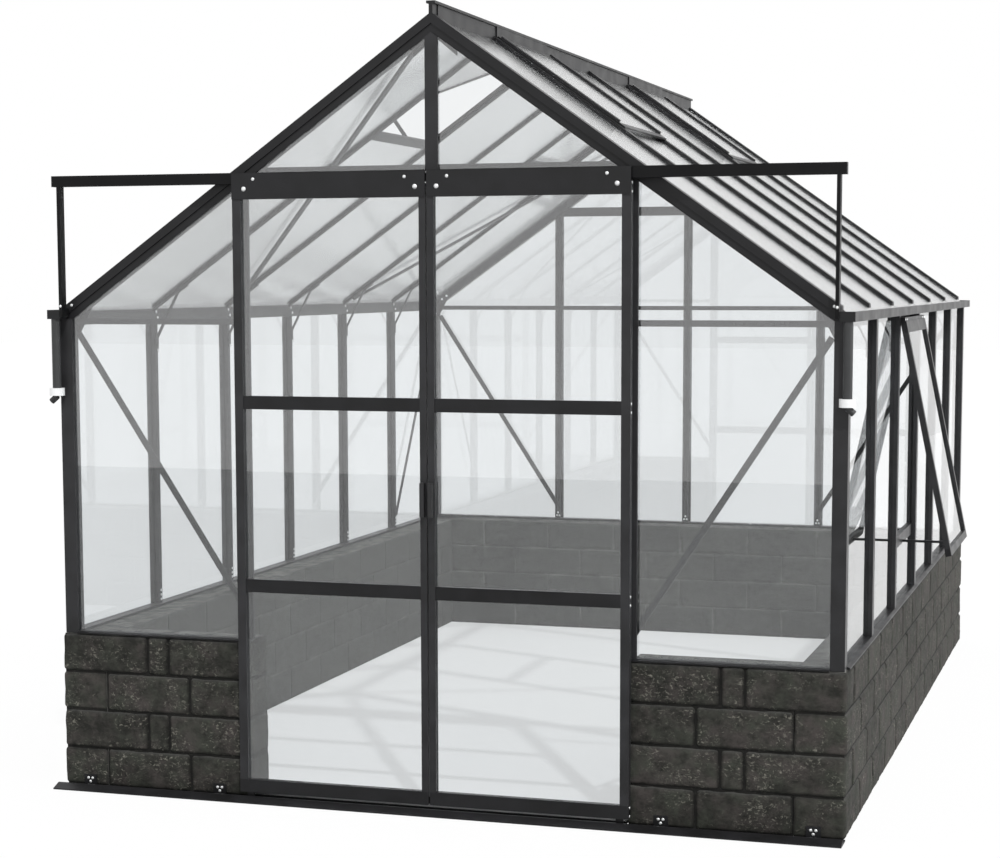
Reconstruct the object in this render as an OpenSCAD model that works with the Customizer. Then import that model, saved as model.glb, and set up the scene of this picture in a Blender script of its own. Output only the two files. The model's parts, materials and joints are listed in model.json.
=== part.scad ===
// Glass greenhouse on a dwarf block wall, with two hung sliding doors in the front gable.
// The origin is on the ground in the middle of the doorway, in the plane of the front frame.
// X runs along the front gable, Y runs into the house, Z is up. Lengths are in millimetres.

/* [Plan] */
// Spacing of the bars across a gable, which has four bays
gable_bay = 620; // [580:1:680]
// Spacing of the bars along a side
side_bay = 606; // [580:1:680]
// Number of bays along a side
side_bays = 6; // [5:1:8]

/* [Masonry] */
// Height of the dwarf wall
wall_h = 500; // [380:1:560]
// Thickness of the dwarf wall
wall_t = 155; // [120:1:200]
// How far the wall face stands in front of the frame
wall_proud = 10; // [4:1:14]
// How far the short front walls reach past the middle of the door posts
jamb_reach = 8; // [4:1:12]

/* [Frame] */
// Height of the post tops, where the gutter sits
eave_h = 1515; // [1450:1:1640]
// Slope of the roof in degrees
roof_pitch = 35.2; // [32:0.1:37]
// Side of the square corner posts, and width of the gable rafters
post_w = 44; // [40:1:54]
// Depth of the gable rafters, square to the slope
rafter_d = 48; // [44:1:56]
// Depth of the raised band along a gable rafter's outer face
rafter_band_d = 26; // [20:1:32]
// How far the raised band stands proud
rafter_band_t = 5; // [3:0.5:8]
// Width of a glazing bar's outer cap
cap_w = 40; // [34:1:46]
// Thickness of a glazing bar's outer cap
cap_t = 10; // [6:0.5:12]
// Thickness of a side post's outer cap
side_cap_t = 14; // [10:0.5:16]
// Depth of an upright glazing bar from its outer face to its inner face
bar_d = 30; // [28:1:36]
// Thickness of a glazing bar's web
web_t = 8; // [6:0.5:10]
// Width of the bolt channel along a glazing bar's inner edge
channel_w = 18; // [16:1:24]
// Depth of the bolt channel in an upright bar
channel_d = 12; // [10:1:14]
// Depth of the bolt channel in a roof bar
roof_channel_d = 6; // [5:0.5:10]
// Thickness of the glass
glass_t = 4; // [3:0.5:6]
// Thickness of the sill rail on the wall top
sill_t = 8; // [7:1:12]
// Thickness of the sill rail at its outer drip edge
drip_t = 4; // [3:1:6]

/* [Ridge and eaves] */
// Thickness of the ridge web
ridge_web_t = 12; // [10:1:16]
// Height of the ridge above the roof line
ridge_rise = 34; // [30:1:44]
// Width of the flange on top of the ridge
ridge_flange_w = 28; // [24:1:36]
// Thickness of the flange on top of the ridge
ridge_flange_t = 8; // [6:1:10]
// Height of the gutter
gutter_h = 29; // [26:1:36]
// Width of the gutter
gutter_w = 46; // [42:1:56]
// Wall of the gutter
gutter_wall = 3; // [2:0.5:4]
// How far the gutter runs past the gables
gutter_past = 40; // [39:1:50]
// Outside diameter of a downpipe
pipe_d = 28; // [24:1:31]
// Wall of a downpipe
pipe_wall = 2; // [1.5:0.5:3]
// Length of a downpipe below the gutter
pipe_len = 246; // [180:1:320]

/* [Doors] */
// How far a closed door laps past the middle of its door post
door_lap = 11; // [6:1:18]
// Gap between the two doors where they meet
door_gap = 5; // [5:1:10]
// Clearance under a door, above the ground
door_lift = 28; // [24:1:34]
// Height of a door's top rail above the eaves
door_over_eave = 410; // [370:1:440]
// Thickness of a door
door_t = 24; // [20:1:28]
// Gap from the face of the frame to the back of a door
door_standoff = 28; // [26:1:34]
// Width of a door's outer stile
outer_stile_w = 28; // [24:1:36]
// Width of a door's meeting stile
meeting_stile_w = 21; // [18:1:28]
// Height of a door's rails
door_rail_h = 41; // [36:1:50]
// Height of a door's header plate
header_plate_h = 80; // [74:1:90]
// Thickness of a door's header plate
header_plate_t = 4; // [3:0.5:6]
// Diameter of a door roller
roller_d = 18; // [14:1:19]
// Width of a door roller
roller_w = 7; // [5:0.5:8]

/* [Opening lights] */
// Length of a roof vent down the slope
vent_len = 525; // [450:1:600]
// Opening of the front left roof vent in degrees
vent_angle = 17.5; // [10:0.5:30]
// Height of the lower pane under the side window
low_pane_h = 191; // [160:1:400]
// Opening of the side window in degrees
window_angle = 11.8; // [6:0.2:25]
// Width of the frame around an opening light
light_frame_w = 26; // [20:1:34]
// Thickness of the frame around a roof vent
light_frame_t = 6; // [5:1:12]
// Thickness of the side window's frame
window_t = 20; // [14:1:24]
// Height of the side window's top rail
window_head_h = 40; // [26:1:60]

/* [Hidden] */
$fn = 48;
// Overrun of cuts past the faces that they open
over = 1;
// Reach of cutting blocks that must clear the whole building
far = 9000;
// Running gap at the door rollers
running = 0.3;
// Seating gap between pieces that are fitted together
seat = 0.3;
// Side clearance of a pane beside a bar's web
pane_clear = 2;

half_w = 2 * gable_bay + post_w / 2;
length = side_bays * side_bay + post_w;
sill_top = wall_h + sill_t;
door_h = eave_h + door_over_eave;

// Gutter and roof plane
gutter_seat = 25;
gutter_in = half_w - gutter_seat;
gutter_out = gutter_in + gutter_w;
gutter_back_drop = 5;
gutter_back_h = gutter_h - gutter_back_drop;
roof_over_gutter = 9;
roof_edge = 15;
roof_seat = gutter_h + roof_over_gutter;
roof_eave_x = half_w - roof_edge;
apex_z = eave_h + roof_seat + roof_eave_x * tan(roof_pitch);
ridge_x = ridge_web_t / 2;
ridge_bottom = apex_z - rafter_d / cos(roof_pitch);
flank_t = 3;
ridge_side = ridge_x + flank_t;
roof_bar_d = cap_t + glass_t + pane_clear + roof_channel_d;
side_bar_d = bar_d - cap_t + side_cap_t;
hinge_cover_t = 4;
hinge_side = ridge_side + hinge_cover_t;
vent_lift = (hinge_side + seat) / cos(roof_pitch);

// Door plane, track and header
door_back = -door_standoff;
door_front = door_back - door_t;
track_wall = 3;
track_d = 26;
track_h = 34;
track_lift = 6;
track_z = door_h + track_lift;
track_front = door_front + track_lift;
track_back = track_front + track_d;
track_short = 8;
track_half = half_w - track_short;
ledge_d = 10;
slot_d = track_d - 2 * track_wall - ledge_d;
header_h = 52;
foot_h = 32;
header_back = cap_t + glass_t + pane_clear;
header_in = 40;
header_z = track_z;
strut_w = 11;
strut_d = 29;

// Threshold
threshold_d = 92;
threshold_h = 16;
threshold_floor = 5;
nose_h = 4;
nose_d = 34;
lip_t = 6;
lug_t = 3;
lug_h = 40;
lug_w = 24;
sill_plate_t = 12;
sill_plate_d = 30;
tab_w = 44;
tab_t = 4;
tab_h = 38;
tab_shares = [0.156, 0.87];

// Places of the bars
function side_y(k) = post_w / 2 + k * side_bay;
function roof_z(x) = apex_z - x * tan(roof_pitch);
function under_rafter(x) = roof_z(x) - rafter_d / cos(roof_pitch);
function under_bar(x) = roof_z(x) - roof_bar_d / cos(roof_pitch);
vent_bays = [1, side_bays - 2];
window_bay = 2;

frame_colour = "#333435";
glass_colour = [0.8, 0.83, 0.84, 0.35];
block_colour = "#3c3b37";
collar_colour = "#f2f2f0";

// Draws the children and their mirror image on the other side of the house
module both_sides() {
    children();
    mirror([1, 0, 0]) children();
}

// Block between two corners
module block(low, high) {
    translate(low) cube(high - low);
}

// Flat bar in the plane of a gable between two points given as [x, z]
module gable_strip(p, q, w, t) {
    run = norm(q - p);
    rise = atan2(q[1] - p[1], q[0] - p[0]);
    translate([p[0], 0, p[1]]) rotate([0, -rise, 0]) translate([0, 0, -w / 2]) cube([run, t, w]);
}

// Glazing bar section: outer cap at y = 0, web, and a slotted bolt channel at the inner edge
module bar_section(depth, groove_d, cap) {
    slot_w = channel_w / 3;
    translate([-cap_w / 2, -cap]) square([cap_w, cap]);
    translate([-web_t / 2, -depth + groove_d]) square([web_t, depth - groove_d - cap]);
    difference() {
        translate([-channel_w / 2, -depth]) square([channel_w, groove_d]);
        translate([-slot_w / 2, -depth - over]) square([slot_w, groove_d / 2 + over]);
    }
}

// Places a bar or pane on the right-hand roof slope: x down the slope, z square to the glass
module on_slope() {
    translate([0, 0, apex_z]) rotate([0, roof_pitch, 0]) children();
}

// Keeps what lies between two distances from the ridge line on the right-hand slope
module between_ridge_and_gutter(inner_x, outer_x) {
    intersection() {
        children();
        block([inner_x, -far, 0], [outer_x, far, far]);
    }
}

// Outline of a gable seated just below its rafters, seen along Y
module gable_field() {
    inner = half_w - post_w;
    low = under_rafter(inner) - seat;
    polygon([
        [-inner, wall_h], [inner, wall_h], [inner, low], [0, under_rafter(0) - seat], [-inner, low]
    ]);
}

// Stands the gable outline up as a plate from y = low to y = high
module gable_plate(low, high) {
    translate([0, high, 0]) rotate([90, 0, 0]) linear_extrude(high - low) children();
}

module upright_bar(height) {
    linear_extrude(height) bar_section(bar_d, channel_d, cap_t);
}

module side_wall() {
    block([half_w + wall_proud - wall_t, -wall_proud, 0],
          [half_w + wall_proud, length + wall_proud, wall_h]);
}

module front_wall() {
    block([gable_bay - jamb_reach, -wall_proud, 0],
          [half_w + wall_proud - wall_t, wall_t - wall_proud, wall_h]);
}

module wall_left() {
    color(block_colour) mirror([1, 0, 0]) side_wall();
}

module wall_right() {
    color(block_colour) side_wall();
}

module wall_back() {
    inner = half_w + wall_proud - wall_t;
    color(block_colour)
        block([-inner, length + wall_proud - wall_t, 0], [inner, length + wall_proud, wall_h]);
}

module wall_front_left() {
    color(block_colour) mirror([1, 0, 0]) front_wall();
}

module wall_front_right() {
    color(block_colour) front_wall();
}

// Ramped rail along the front with a lip, bolted tabs on the wall, and beside the doorway a lug
// that guides each door in the groove of its bottom rail
module threshold_rail() {
    rail_half = half_w + wall_proud;
    lip_y = nose_d - threshold_d;
    lug_y = (door_back + door_front) / 2;
    lug_x = gable_bay - jamb_reach;
    color(frame_colour) {
        translate([-rail_half, 0, 0]) rotate([90, 0, 90]) linear_extrude(2 * rail_half)
            polygon([
                [-threshold_d, 0], [-wall_proud, 0], [-wall_proud, threshold_floor],
                [lip_y + lip_t, threshold_floor], [lip_y + lip_t, threshold_h],
                [lip_y, threshold_h], [-threshold_d, nose_h]
            ]);
        block([-lug_x, -wall_proud, 0], [lug_x, sill_plate_d, sill_plate_t]);
        both_sides()
            block([lug_x - lug_w, lug_y - lug_t / 2, 0], [lug_x, lug_y + lug_t / 2, lug_h]);
        for (side = [-1, 1], share = tab_shares)
            translate([side * (gable_bay + share * (half_w - gable_bay)), -wall_proud - tab_t, 0])
                translate([-tab_w / 2, 0, 0]) cube([tab_w, tab_t, tab_h]);
    }
}

// Rail section lying on the wall top, outer drip edge towards +y
module sill_section(inner) {
    polygon([
        [-inner, 0], [wall_proud, 0], [wall_proud, drip_t], [0, sill_t], [-inner, sill_t]
    ]);
}

module sill_rails() {
    color(frame_colour) {
        both_sides()
            translate([half_w, length - post_w, wall_h]) rotate([90, 0, 0])
                linear_extrude(length - 2 * post_w) sill_section(post_w);
        translate([post_w - half_w, length, wall_h]) rotate([90, 0, 90])
            linear_extrude(2 * (half_w - post_w)) sill_section(post_w);
        both_sides()
            mirror([0, 1, 0]) translate([gable_bay - jamb_reach, 0, wall_h]) rotate([90, 0, 90])
                linear_extrude(half_w - post_w - gable_bay + jamb_reach) sill_section(bar_d);
    }
}

module corner_posts() {
    color(frame_colour) both_sides() for (y = [0, length - post_w])
        block([half_w - post_w, y, wall_h], [half_w, y + post_w, eave_h]);
}

module wall_posts() {
    color(frame_colour) both_sides()
        for (k = [1 : side_bays - 1])
            translate([half_w, side_y(k), sill_top]) rotate([0, 0, -90])
                linear_extrude(eave_h - sill_top) bar_section(side_bar_d, channel_d, side_cap_t);
}

module gutters() {
    color(frame_colour) both_sides()
        difference() {
            block([gutter_in, -gutter_past, eave_h],
                  [gutter_out, length + gutter_past, eave_h + gutter_h]);
            block([gutter_in + gutter_wall, gutter_wall - gutter_past, eave_h + gutter_wall],
                  [gutter_out - gutter_wall, length + gutter_past - gutter_wall, eave_h + far]);
            block([gutter_in - over, gutter_wall - gutter_past, eave_h + gutter_back_h],
                  [gutter_out - gutter_wall, length + gutter_past - gutter_wall, eave_h + far]);
        }
}

pipe_x = (gutter_in + gutter_out) / 2 + gutter_wall / 2;
spout_d = 20;
spout_len = 26;
spout_tilt = 50;
mouth_deep = 12;
collar_d = 48;
collar_h = 24;
collar_lift = 2;
pipe_y = -collar_d / 2 - running;

// Pipe under each gutter end with a short spout that points away from the house
module downpipes() {
    color(frame_colour) both_sides()
        translate([pipe_x, pipe_y, eave_h - pipe_len]) {
            difference() {
                cylinder(d = pipe_d, h = pipe_len);
                translate([0, 0, pipe_wall]) cylinder(d = pipe_d - 2 * pipe_wall, h = pipe_len);
            }
            rotate([0, 180 - spout_tilt, 0]) difference() {
                cylinder(d = spout_d, h = spout_len);
                translate([0, 0, spout_len - mouth_deep])
                    cylinder(d = spout_d - 2 * pipe_wall, h = mouth_deep + over);
            }
        }
}

module downpipe_collars() {
    color(collar_colour) both_sides()
        translate([pipe_x, pipe_y, eave_h - pipe_len + collar_lift])
            difference() {
                cylinder(d = collar_d, h = collar_h);
                translate([0, 0, -over])
                    cylinder(d = pipe_d + 2 * running, h = collar_h + 2 * over);
            }
}

// Front rafter with a raised band, mitred at the apex, seated on the corner post and the gutter
module rafter() {
    between_ridge_and_gutter(0, gutter_in)
        intersection() {
            on_slope() translate([-far / 2, 0, 0]) rotate([90, 0, 90]) linear_extrude(far)
                polygon([
                    [0, 0], [post_w, 0], [post_w, -rafter_d], [rafter_band_t, -rafter_d],
                    [rafter_band_t, -rafter_band_d], [0, -rafter_band_d]
                ]);
            block([0, 0, eave_h], [half_w, post_w, far]);
        }
}

module gable_rafters() {
    color(frame_colour) both_sides() {
        rafter();
        translate([0, length, 0]) mirror([0, 1, 0]) rafter();
    }
}

// Door posts beside the doorway and the mullion above the header
module front_gable_posts() {
    color(frame_colour) {
        intersection() {
            both_sides() translate([gable_bay, 0, sill_top]) rotate([0, 0, 180])
                upright_bar(header_z - sill_top);
            gable_plate(0, bar_d) gable_field();
        }
        intersection() {
            translate([0, 0, header_z + header_h]) rotate([0, 0, 180]) upright_bar(apex_z);
            gable_plate(0, bar_d) gable_field();
        }
        block([-cap_w / 2, 0, header_z + foot_h], [cap_w / 2, cap_t, header_z + header_h]);
    }
}

module back_gable_posts() {
    color(frame_colour)
        intersection() {
            for (k = [-1 : 1])
                translate([k * gable_bay, length, sill_top]) upright_bar(apex_z);
            gable_plate(length - bar_d, length) gable_field();
        }
}

// Beam over the doorway between the rafters: a foot behind the track and a web inside the glass
module header_beam() {
    half = gable_bay + web_t / 2 + pane_clear;
    color(frame_colour)
        intersection() {
            gable_plate(track_back, header_in) gable_field();
            translate([-half, 0, header_z]) rotate([90, 0, 90]) linear_extrude(2 * half)
                polygon([
                    [track_back, 0], [header_in, 0], [header_in, header_h],
                    [header_back, header_h], [header_back, foot_h], [track_back, foot_h]
                ]);
        }
}

eave_bar_drop = 17;
eave_bar_z = eave_h - eave_bar_drop;
eave_bar_h = 19;
eave_bar_t = 8;
collar_bar_h = 41;
collar_bar_share = 0.489;

eave_strip_t = 6;
eave_strip_drop = 20;
eave_strip_rise = 8;

// Bars inside the glass at eave level on all sides, and the collar across the back gable
module tie_rails() {
    inner = half_w - post_w;
    collar_z = eave_h + collar_bar_share * (under_rafter(0) - eave_h);
    strip_y = post_w + gusset_t + seat;
    color(frame_colour) {
        intersection() {
            union() {
                both_sides()
                    block([gable_bay, bar_d, eave_bar_z],
                          [inner, bar_d + eave_bar_t, eave_bar_z + eave_bar_h]);
                block([-inner, length - bar_d - eave_bar_t, eave_bar_z],
                      [inner, length - bar_d, eave_bar_z + eave_bar_h]);
                block([-inner, length - bar_d - eave_bar_t, collar_z],
                      [inner, length - bar_d, collar_z + collar_bar_h]);
            }
            gable_plate(0, length) gable_field();
        }
        both_sides()
            block([half_w - side_bar_d - eave_strip_t, strip_y, eave_h - eave_strip_drop],
                  [half_w - side_bar_d, length - strip_y, eave_h + eave_strip_rise]);
    }
}

module roof_bars() {
    color(frame_colour) both_sides()
        for (k = [1 : side_bays - 1])
            between_ridge_and_gutter(ridge_side, gutter_in)
                on_slope() translate([-far / 2, side_y(k), 0]) rotate([90, 0, 90])
                    linear_extrude(far) bar_section(roof_bar_d, roof_channel_d, cap_t);
}

// Ridge between the two slopes: a flanged web saddled on the mitred rafters at both ends, a
// thicker body between the gables, and a hinge cover over the top edge of each vent
module ridge() {
    flange_z = apex_z + ridge_rise - ridge_flange_t;
    saddle_z = roof_z(ridge_x) + seat;
    cover_z = roof_z(ridge_side) + seat;
    color(frame_colour) {
        translate([0, length, 0]) rotate([90, 0, 0]) linear_extrude(length) {
            polygon([
                [0, apex_z + seat], [ridge_x, saddle_z], [ridge_x, flange_z],
                [-ridge_x, flange_z], [-ridge_x, saddle_z]
            ]);
            translate([-ridge_flange_w / 2, flange_z]) square([ridge_flange_w, ridge_flange_t]);
        }
        block([-ridge_side, post_w, ridge_bottom], [ridge_side, length - post_w, flange_z]);
        for (bay = vent_bays)
            block([-hinge_side, side_y(bay) + vent_side, cover_z],
                  [hinge_side, side_y(bay + 1) - vent_side, flange_z]);
    }
}

// Channel open below with closed ends, and a ledge along its back for the rollers
module door_track() {
    hollow = track_half - track_wall;
    color(frame_colour)
        difference() {
            block([-track_half, track_front, track_z], [track_half, track_back, track_z + track_h]);
            block([-hollow, track_front + track_wall, track_z + track_wall],
                  [hollow, track_back - track_wall, track_z + track_h - track_wall]);
            block([-hollow, track_front + track_wall, track_z - over],
                  [hollow, track_front + track_wall + slot_d, track_z + track_wall + over]);
        }
}

strut_foot = 25;
strut_lift = 8;

// Flat struts from the track ends down to feet on the rafters beside the gutter ends
module track_struts() {
    strut_x = gutter_in - strut_w;
    foot_z = eave_h + strut_lift;
    color(frame_colour) both_sides() {
        block([strut_x, track_front, foot_z], [strut_x + strut_w, track_front + strut_d, track_z]);
        block([strut_x, track_front + strut_d, foot_z], [strut_x + strut_w, 0, foot_z + strut_foot]);
    }
}

// One roof vent on the right-hand slope, hinged beside the ridge and opened by the given angle
module vent_place(bay, opening) {
    on_slope() translate([vent_lift, side_y(bay), 0]) rotate([0, -opening, 0]) children();
}

module each_vent() {
    for (bay = vent_bays) {
        vent_place(bay, 0) children();
        mirror([1, 0, 0]) vent_place(bay, bay == vent_bays[0] ? vent_angle : 0) children();
    }
}

vent_side = 3;

module vent_stiles() {
    stile_len = vent_len - 2 * light_frame_w;
    color(frame_colour) each_vent() translate([light_frame_w, 0, 0]) {
        translate([0, vent_side, 0]) cube([stile_len, light_frame_w, light_frame_t]);
        translate([0, side_bay - vent_side - light_frame_w, 0])
            cube([stile_len, light_frame_w, light_frame_t]);
    }
}

module vent_rails() {
    rail_len = side_bay - 2 * vent_side;
    color(frame_colour) each_vent() translate([0, vent_side, 0]) {
        cube([light_frame_w, rail_len, light_frame_t]);
        translate([vent_len - light_frame_w, 0, 0]) cube([light_frame_w, rail_len, light_frame_t]);
    }
}

module vent_glass() {
    pane_w = side_bay - 2 * vent_side - 2 * light_frame_w;
    color(glass_colour) each_vent()
        translate([light_frame_w, vent_side + light_frame_w, (light_frame_t - glass_t) / 2])
            cube([vent_len - 2 * light_frame_w, pane_w, glass_t]);
}

trimmer_w = 40;

// Cross bars between the roof bars under the free edge of each vent
module vent_trimmers() {
    color(frame_colour) both_sides()
        for (bay = vent_bays)
            on_slope()
                translate([vent_lift + vent_len - trimmer_w, side_y(bay) + channel_w / 2, -roof_bar_d])
                    cube([trimmer_w, side_bay - channel_w, roof_bar_d - cap_t - glass_t]);
}

hinge_drop = 24;
hinge_d = 16;
hinge_z = eave_h - hinge_drop;
transom_h = 40;
transom_z = sill_top + low_pane_h;
window_len = hinge_z - transom_z + light_frame_w;

// The side window in the right-hand wall, hung from its top edge and swung outwards
module window_place() {
    translate([half_w, side_y(window_bay) + vent_side, hinge_z])
        rotate([0, 180 - window_angle, 0]) mirror([1, 0, 0]) children();
}

window_w = side_bay - 2 * vent_side;

module window_stiles() {
    stile_len = window_len - window_head_h - light_frame_w;
    color(frame_colour) window_place() for (y = [0, window_w - light_frame_w])
        translate([0, y, window_head_h]) cube([window_t, light_frame_w, stile_len]);
}

// Top and bottom rails, the hinge above the top rail, and the transom that the window closes on
module window_rails() {
    color(frame_colour) {
        window_place() {
            cube([window_t, window_w, window_head_h]);
            translate([0, 0, window_len - light_frame_w]) cube([window_t, window_w, light_frame_w]);
        }
        translate([half_w, side_y(window_bay) + vent_side, hinge_z])
            cube([hinge_d, window_w, hinge_d]);
        translate([half_w - side_bar_d, side_y(window_bay) + channel_w / 2, transom_z])
            cube([side_bar_d - side_cap_t, side_bay - channel_w, transom_h]);
    }
}

module window_glass() {
    color(glass_colour) window_place()
        translate([(window_t - glass_t) / 2, light_frame_w, window_head_h])
            cube([glass_t, window_w - 2 * light_frame_w, window_len - window_head_h - light_frame_w]);
}

stay_w = 12;
stay_t = 8;
stay_lift = 3;

// Stay arms under the open vent and behind the open window
module light_stays() {
    stay_z = transom_z + stay_lift;
    reach = (hinge_z - stay_z - stay_t) * tan(window_angle) - running;
    color(frame_colour) {
        translate([half_w - side_cap_t, side_y(window_bay) + (side_bay - stay_w) / 2, stay_z])
            cube([side_cap_t + reach, stay_w, stay_t]);
        mirror([1, 0, 0]) difference() {
            on_slope()
                translate([vent_lift + vent_len - trimmer_w + stay_lift,
                           side_y(vent_bays[0]) + (side_bay - stay_t) / 2, -cap_t - glass_t])
                    cube([stay_w, stay_t, vent_len]);
            vent_place(vent_bays[0], vent_angle) translate([0, 0, -running]) cube(far);
        }
    }
}

// Panes of a side wall between the post webs
module side_panes(skip) {
    glass_x = half_w - side_cap_t - glass_t;
    edge = web_t / 2 + pane_clear;
    for (k = [0 : side_bays - 1]) {
        low_y = k == 0 ? post_w : side_y(k) + edge;
        high_y = k == side_bays - 1 ? length - post_w : side_y(k + 1) - edge;
        top_z = k == skip ? transom_z : eave_h;
        block([glass_x, low_y, sill_top], [glass_x + glass_t, high_y, top_z]);
    }
}

module side_glass() {
    color(glass_colour) {
        side_panes(window_bay);
        mirror([1, 0, 0]) side_panes(-1);
    }
}

// Panes of a gable: the field under the rafters cut into upright strips between x = low and high
module gable_strip_pane(low_x, high_x, low_z, high_z) {
    intersection() {
        gable_field();
        translate([low_x, low_z]) square([high_x - low_x, high_z - low_z]);
    }
}

module gable_glass() {
    edge = web_t / 2 + pane_clear;
    inner = half_w - post_w;
    color(glass_colour) both_sides() {
        gable_plate(cap_t, cap_t + glass_t) {
            gable_strip_pane(gable_bay + edge, inner, sill_top, apex_z);
            gable_strip_pane(edge, gable_bay, header_z + foot_h, apex_z);
        }
        gable_plate(length - cap_t - glass_t, length - cap_t) {
            gable_strip_pane(gable_bay + edge, inner, sill_top, apex_z);
            gable_strip_pane(edge, gable_bay - edge, sill_top, apex_z);
        }
    }
}

glass_end = half_w;
// Strip of the trimmer left free of glass for the stay
stay_room = stay_w + 2 * stay_lift;

module roof_glass() {
    edge = web_t / 2 + pane_clear;
    vent_end = vent_lift + vent_len - trimmer_w + stay_room;
    color(glass_colour) both_sides() between_ridge_and_gutter(ridge_side, glass_end)
        on_slope() for (k = [0 : side_bays - 1]) {
            low_y = k == 0 ? post_w : side_y(k) + edge;
            high_y = k == side_bays - 1 ? length - post_w : side_y(k + 1) - edge;
            start = len(search(k, vent_bays)) > 0 ? vent_end : -far / 2;
            block([start, low_y, -cap_t - glass_t], [far / 2, high_y, -cap_t]);
        }
}

brace_w = 20;
brace_t = 4;
slope_brace_t = 9;
brace_drop = 30;
brace_top = eave_bar_z - brace_drop;
brace_foot = 60;

roof_brace_low = 30;
roof_brace_high = 58;
roof_brace_in = 18;

// Diagonal flat braces: in the outer gable bays, under both roof ends and in the last side bay
module braces() {
    inner = half_w - post_w;
    roof_low = [(gutter_in - roof_brace_low) / cos(roof_pitch), side_y(2)];
    roof_high = [roof_brace_high, post_w + roof_brace_in];
    color(frame_colour) both_sides() {
        for (y = [bar_d, length - bar_d - brace_t])
            translate([0, y, 0])
                gable_strip([inner - brace_w / 2, brace_top], [gable_bay, sill_top + brace_foot],
                            brace_w, brace_t);
        slope_brace(roof_high, roof_low);
        translate([0, length, 0]) mirror([0, 1, 0]) slope_brace(roof_high, roof_low);
        side_brace([length - post_w - brace_w, brace_top],
                   [side_y(side_bays - 1), sill_top + brace_foot]);
    }
}

// Flat bar against the underside of the roof bars between two points [down the slope, y]
module slope_brace(p, q) {
    run = norm(q - p);
    turn = atan2(q[1] - p[1], q[0] - p[0]);
    on_slope() translate([p[0], p[1], -roof_bar_d - slope_brace_t]) rotate([0, 0, turn])
        translate([0, -brace_w / 2, 0]) cube([run, brace_w, slope_brace_t]);
}

// Flat bar against the inside of the right-hand wall posts between two points [y, z]
module side_brace(p, q) {
    run = norm(q - p);
    rise = atan2(q[1] - p[1], q[0] - p[0]);
    translate([half_w - side_bar_d - brace_t, p[0], p[1]]) rotate([rise, 0, 0])
        translate([0, 0, -brace_w / 2]) cube([brace_t, run, brace_w]);
}

knee_leg = 100;
knee_foot = 48;
knee_w = 14;
knee_t = 5;

// Strap in the angle between a side post and its roof bar, with a foot bent flat against each
module knee() {
    lean = (90 - roof_pitch) / 2;
    slope = [-cos(roof_pitch), sin(roof_pitch)];
    corner = [half_w - side_bar_d, under_bar(half_w - side_bar_d)];
    low = corner - [0, knee_leg];
    high = corner + knee_leg * slope;
    off_post = [-1, 0];
    off_strap = [-cos(lean), -sin(lean)];
    off_bar = [-sin(roof_pitch), -cos(roof_pitch)];
    low_end = low - [0, knee_foot];
    high_end = high + knee_foot * slope;
    low_bend = low + knee_t * (off_post + off_strap) / (1 + off_post * off_strap);
    high_bend = high + knee_t * (off_bar + off_strap) / (1 + off_bar * off_strap);
    translate([0, knee_w / 2, 0]) rotate([90, 0, 0]) linear_extrude(knee_w)
        polygon([
            low_end, low, high, high_end,
            high_end + knee_t * off_bar, high_bend, low_bend, low_end + knee_t * off_post
        ]);
}

module knee_brackets() {
    color(frame_colour) both_sides()
        for (k = [1 : side_bays - 1]) translate([0, side_y(k), 0]) knee();
}

gusset_t = 3;
gusset_w = 70;
gusset_drop = 62;
gusset_edge = 1;
gusset_cover = (cap_t + glass_t + pane_clear) / cos(roof_pitch);

// Plate over the joint of a corner post and its rafter, and half the plate at the apex
module gusset_outlines() {
    outer = gutter_in - gusset_edge;
    inner = outer - gusset_w;
    middle = ridge_side + gusset_edge;
    polygon([
        [half_w - post_w, eave_h - gusset_drop], [outer, eave_h - gusset_drop], [outer, eave_h],
        [inner, roof_z(inner) - gusset_cover], [inner, under_rafter(inner)]
    ]);
    polygon([
        [middle, roof_z(middle) - gusset_cover], [gusset_w, roof_z(gusset_w) - gusset_cover],
        [gusset_w, under_rafter(gusset_w) - gusset_cover], [middle, under_rafter(0) - gusset_cover]
    ]);
}

module gusset_plates() {
    color(frame_colour) both_sides() {
        gable_plate(post_w, post_w + gusset_t) gusset_outlines();
        gable_plate(length - post_w - gusset_t, length - post_w) gusset_outlines();
    }
}

door_bottom_rail = door_lift + door_rail_h;
top_rail_z = door_h - door_rail_h;
mid_rail_shares = [0.3363, 0.6384];
groove_w = 15;
groove_deep = 24;

// Right-hand door sizes, measured from the middle of the doorway
door_in = door_gap / 2;
door_out = gable_bay + door_lap;

function mid_rail_z(share) = door_lift + share * (door_h - door_lift);

module door_stiles() {
    color(frame_colour) {
        block([door_in, door_front, door_bottom_rail], [door_in + meeting_stile_w, door_back, top_rail_z]);
        block([door_out - outer_stile_w, door_front, door_bottom_rail], [door_out, door_back, top_rail_z]);
    }
}

rail_set = 2;

module door_rails() {
    groove_y = (door_back + door_front) / 2;
    color(frame_colour) {
        block([door_in, door_front, top_rail_z], [door_out, door_back, door_h]);
        for (share = mid_rail_shares)
            block([door_in + meeting_stile_w, door_front + rail_set, mid_rail_z(share)],
                  [door_out - outer_stile_w, door_back - rail_set, mid_rail_z(share) + door_rail_h]);
        difference() {
            block([door_in, door_front, door_lift], [door_out, door_back, door_bottom_rail]);
            block([door_in - over, groove_y - groove_w / 2, door_lift - over],
                  [door_out + over, groove_y + groove_w / 2, door_lift + groove_deep]);
        }
    }
}

module door_header() {
    color(frame_colour)
        block([door_in, door_front - header_plate_t, top_rail_z],
              [door_out, door_front, top_rail_z + header_plate_h]);
}

roller_inset = 60;
axle_d = 6;
hanger_w = 16;
hanger_t = 4;

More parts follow.
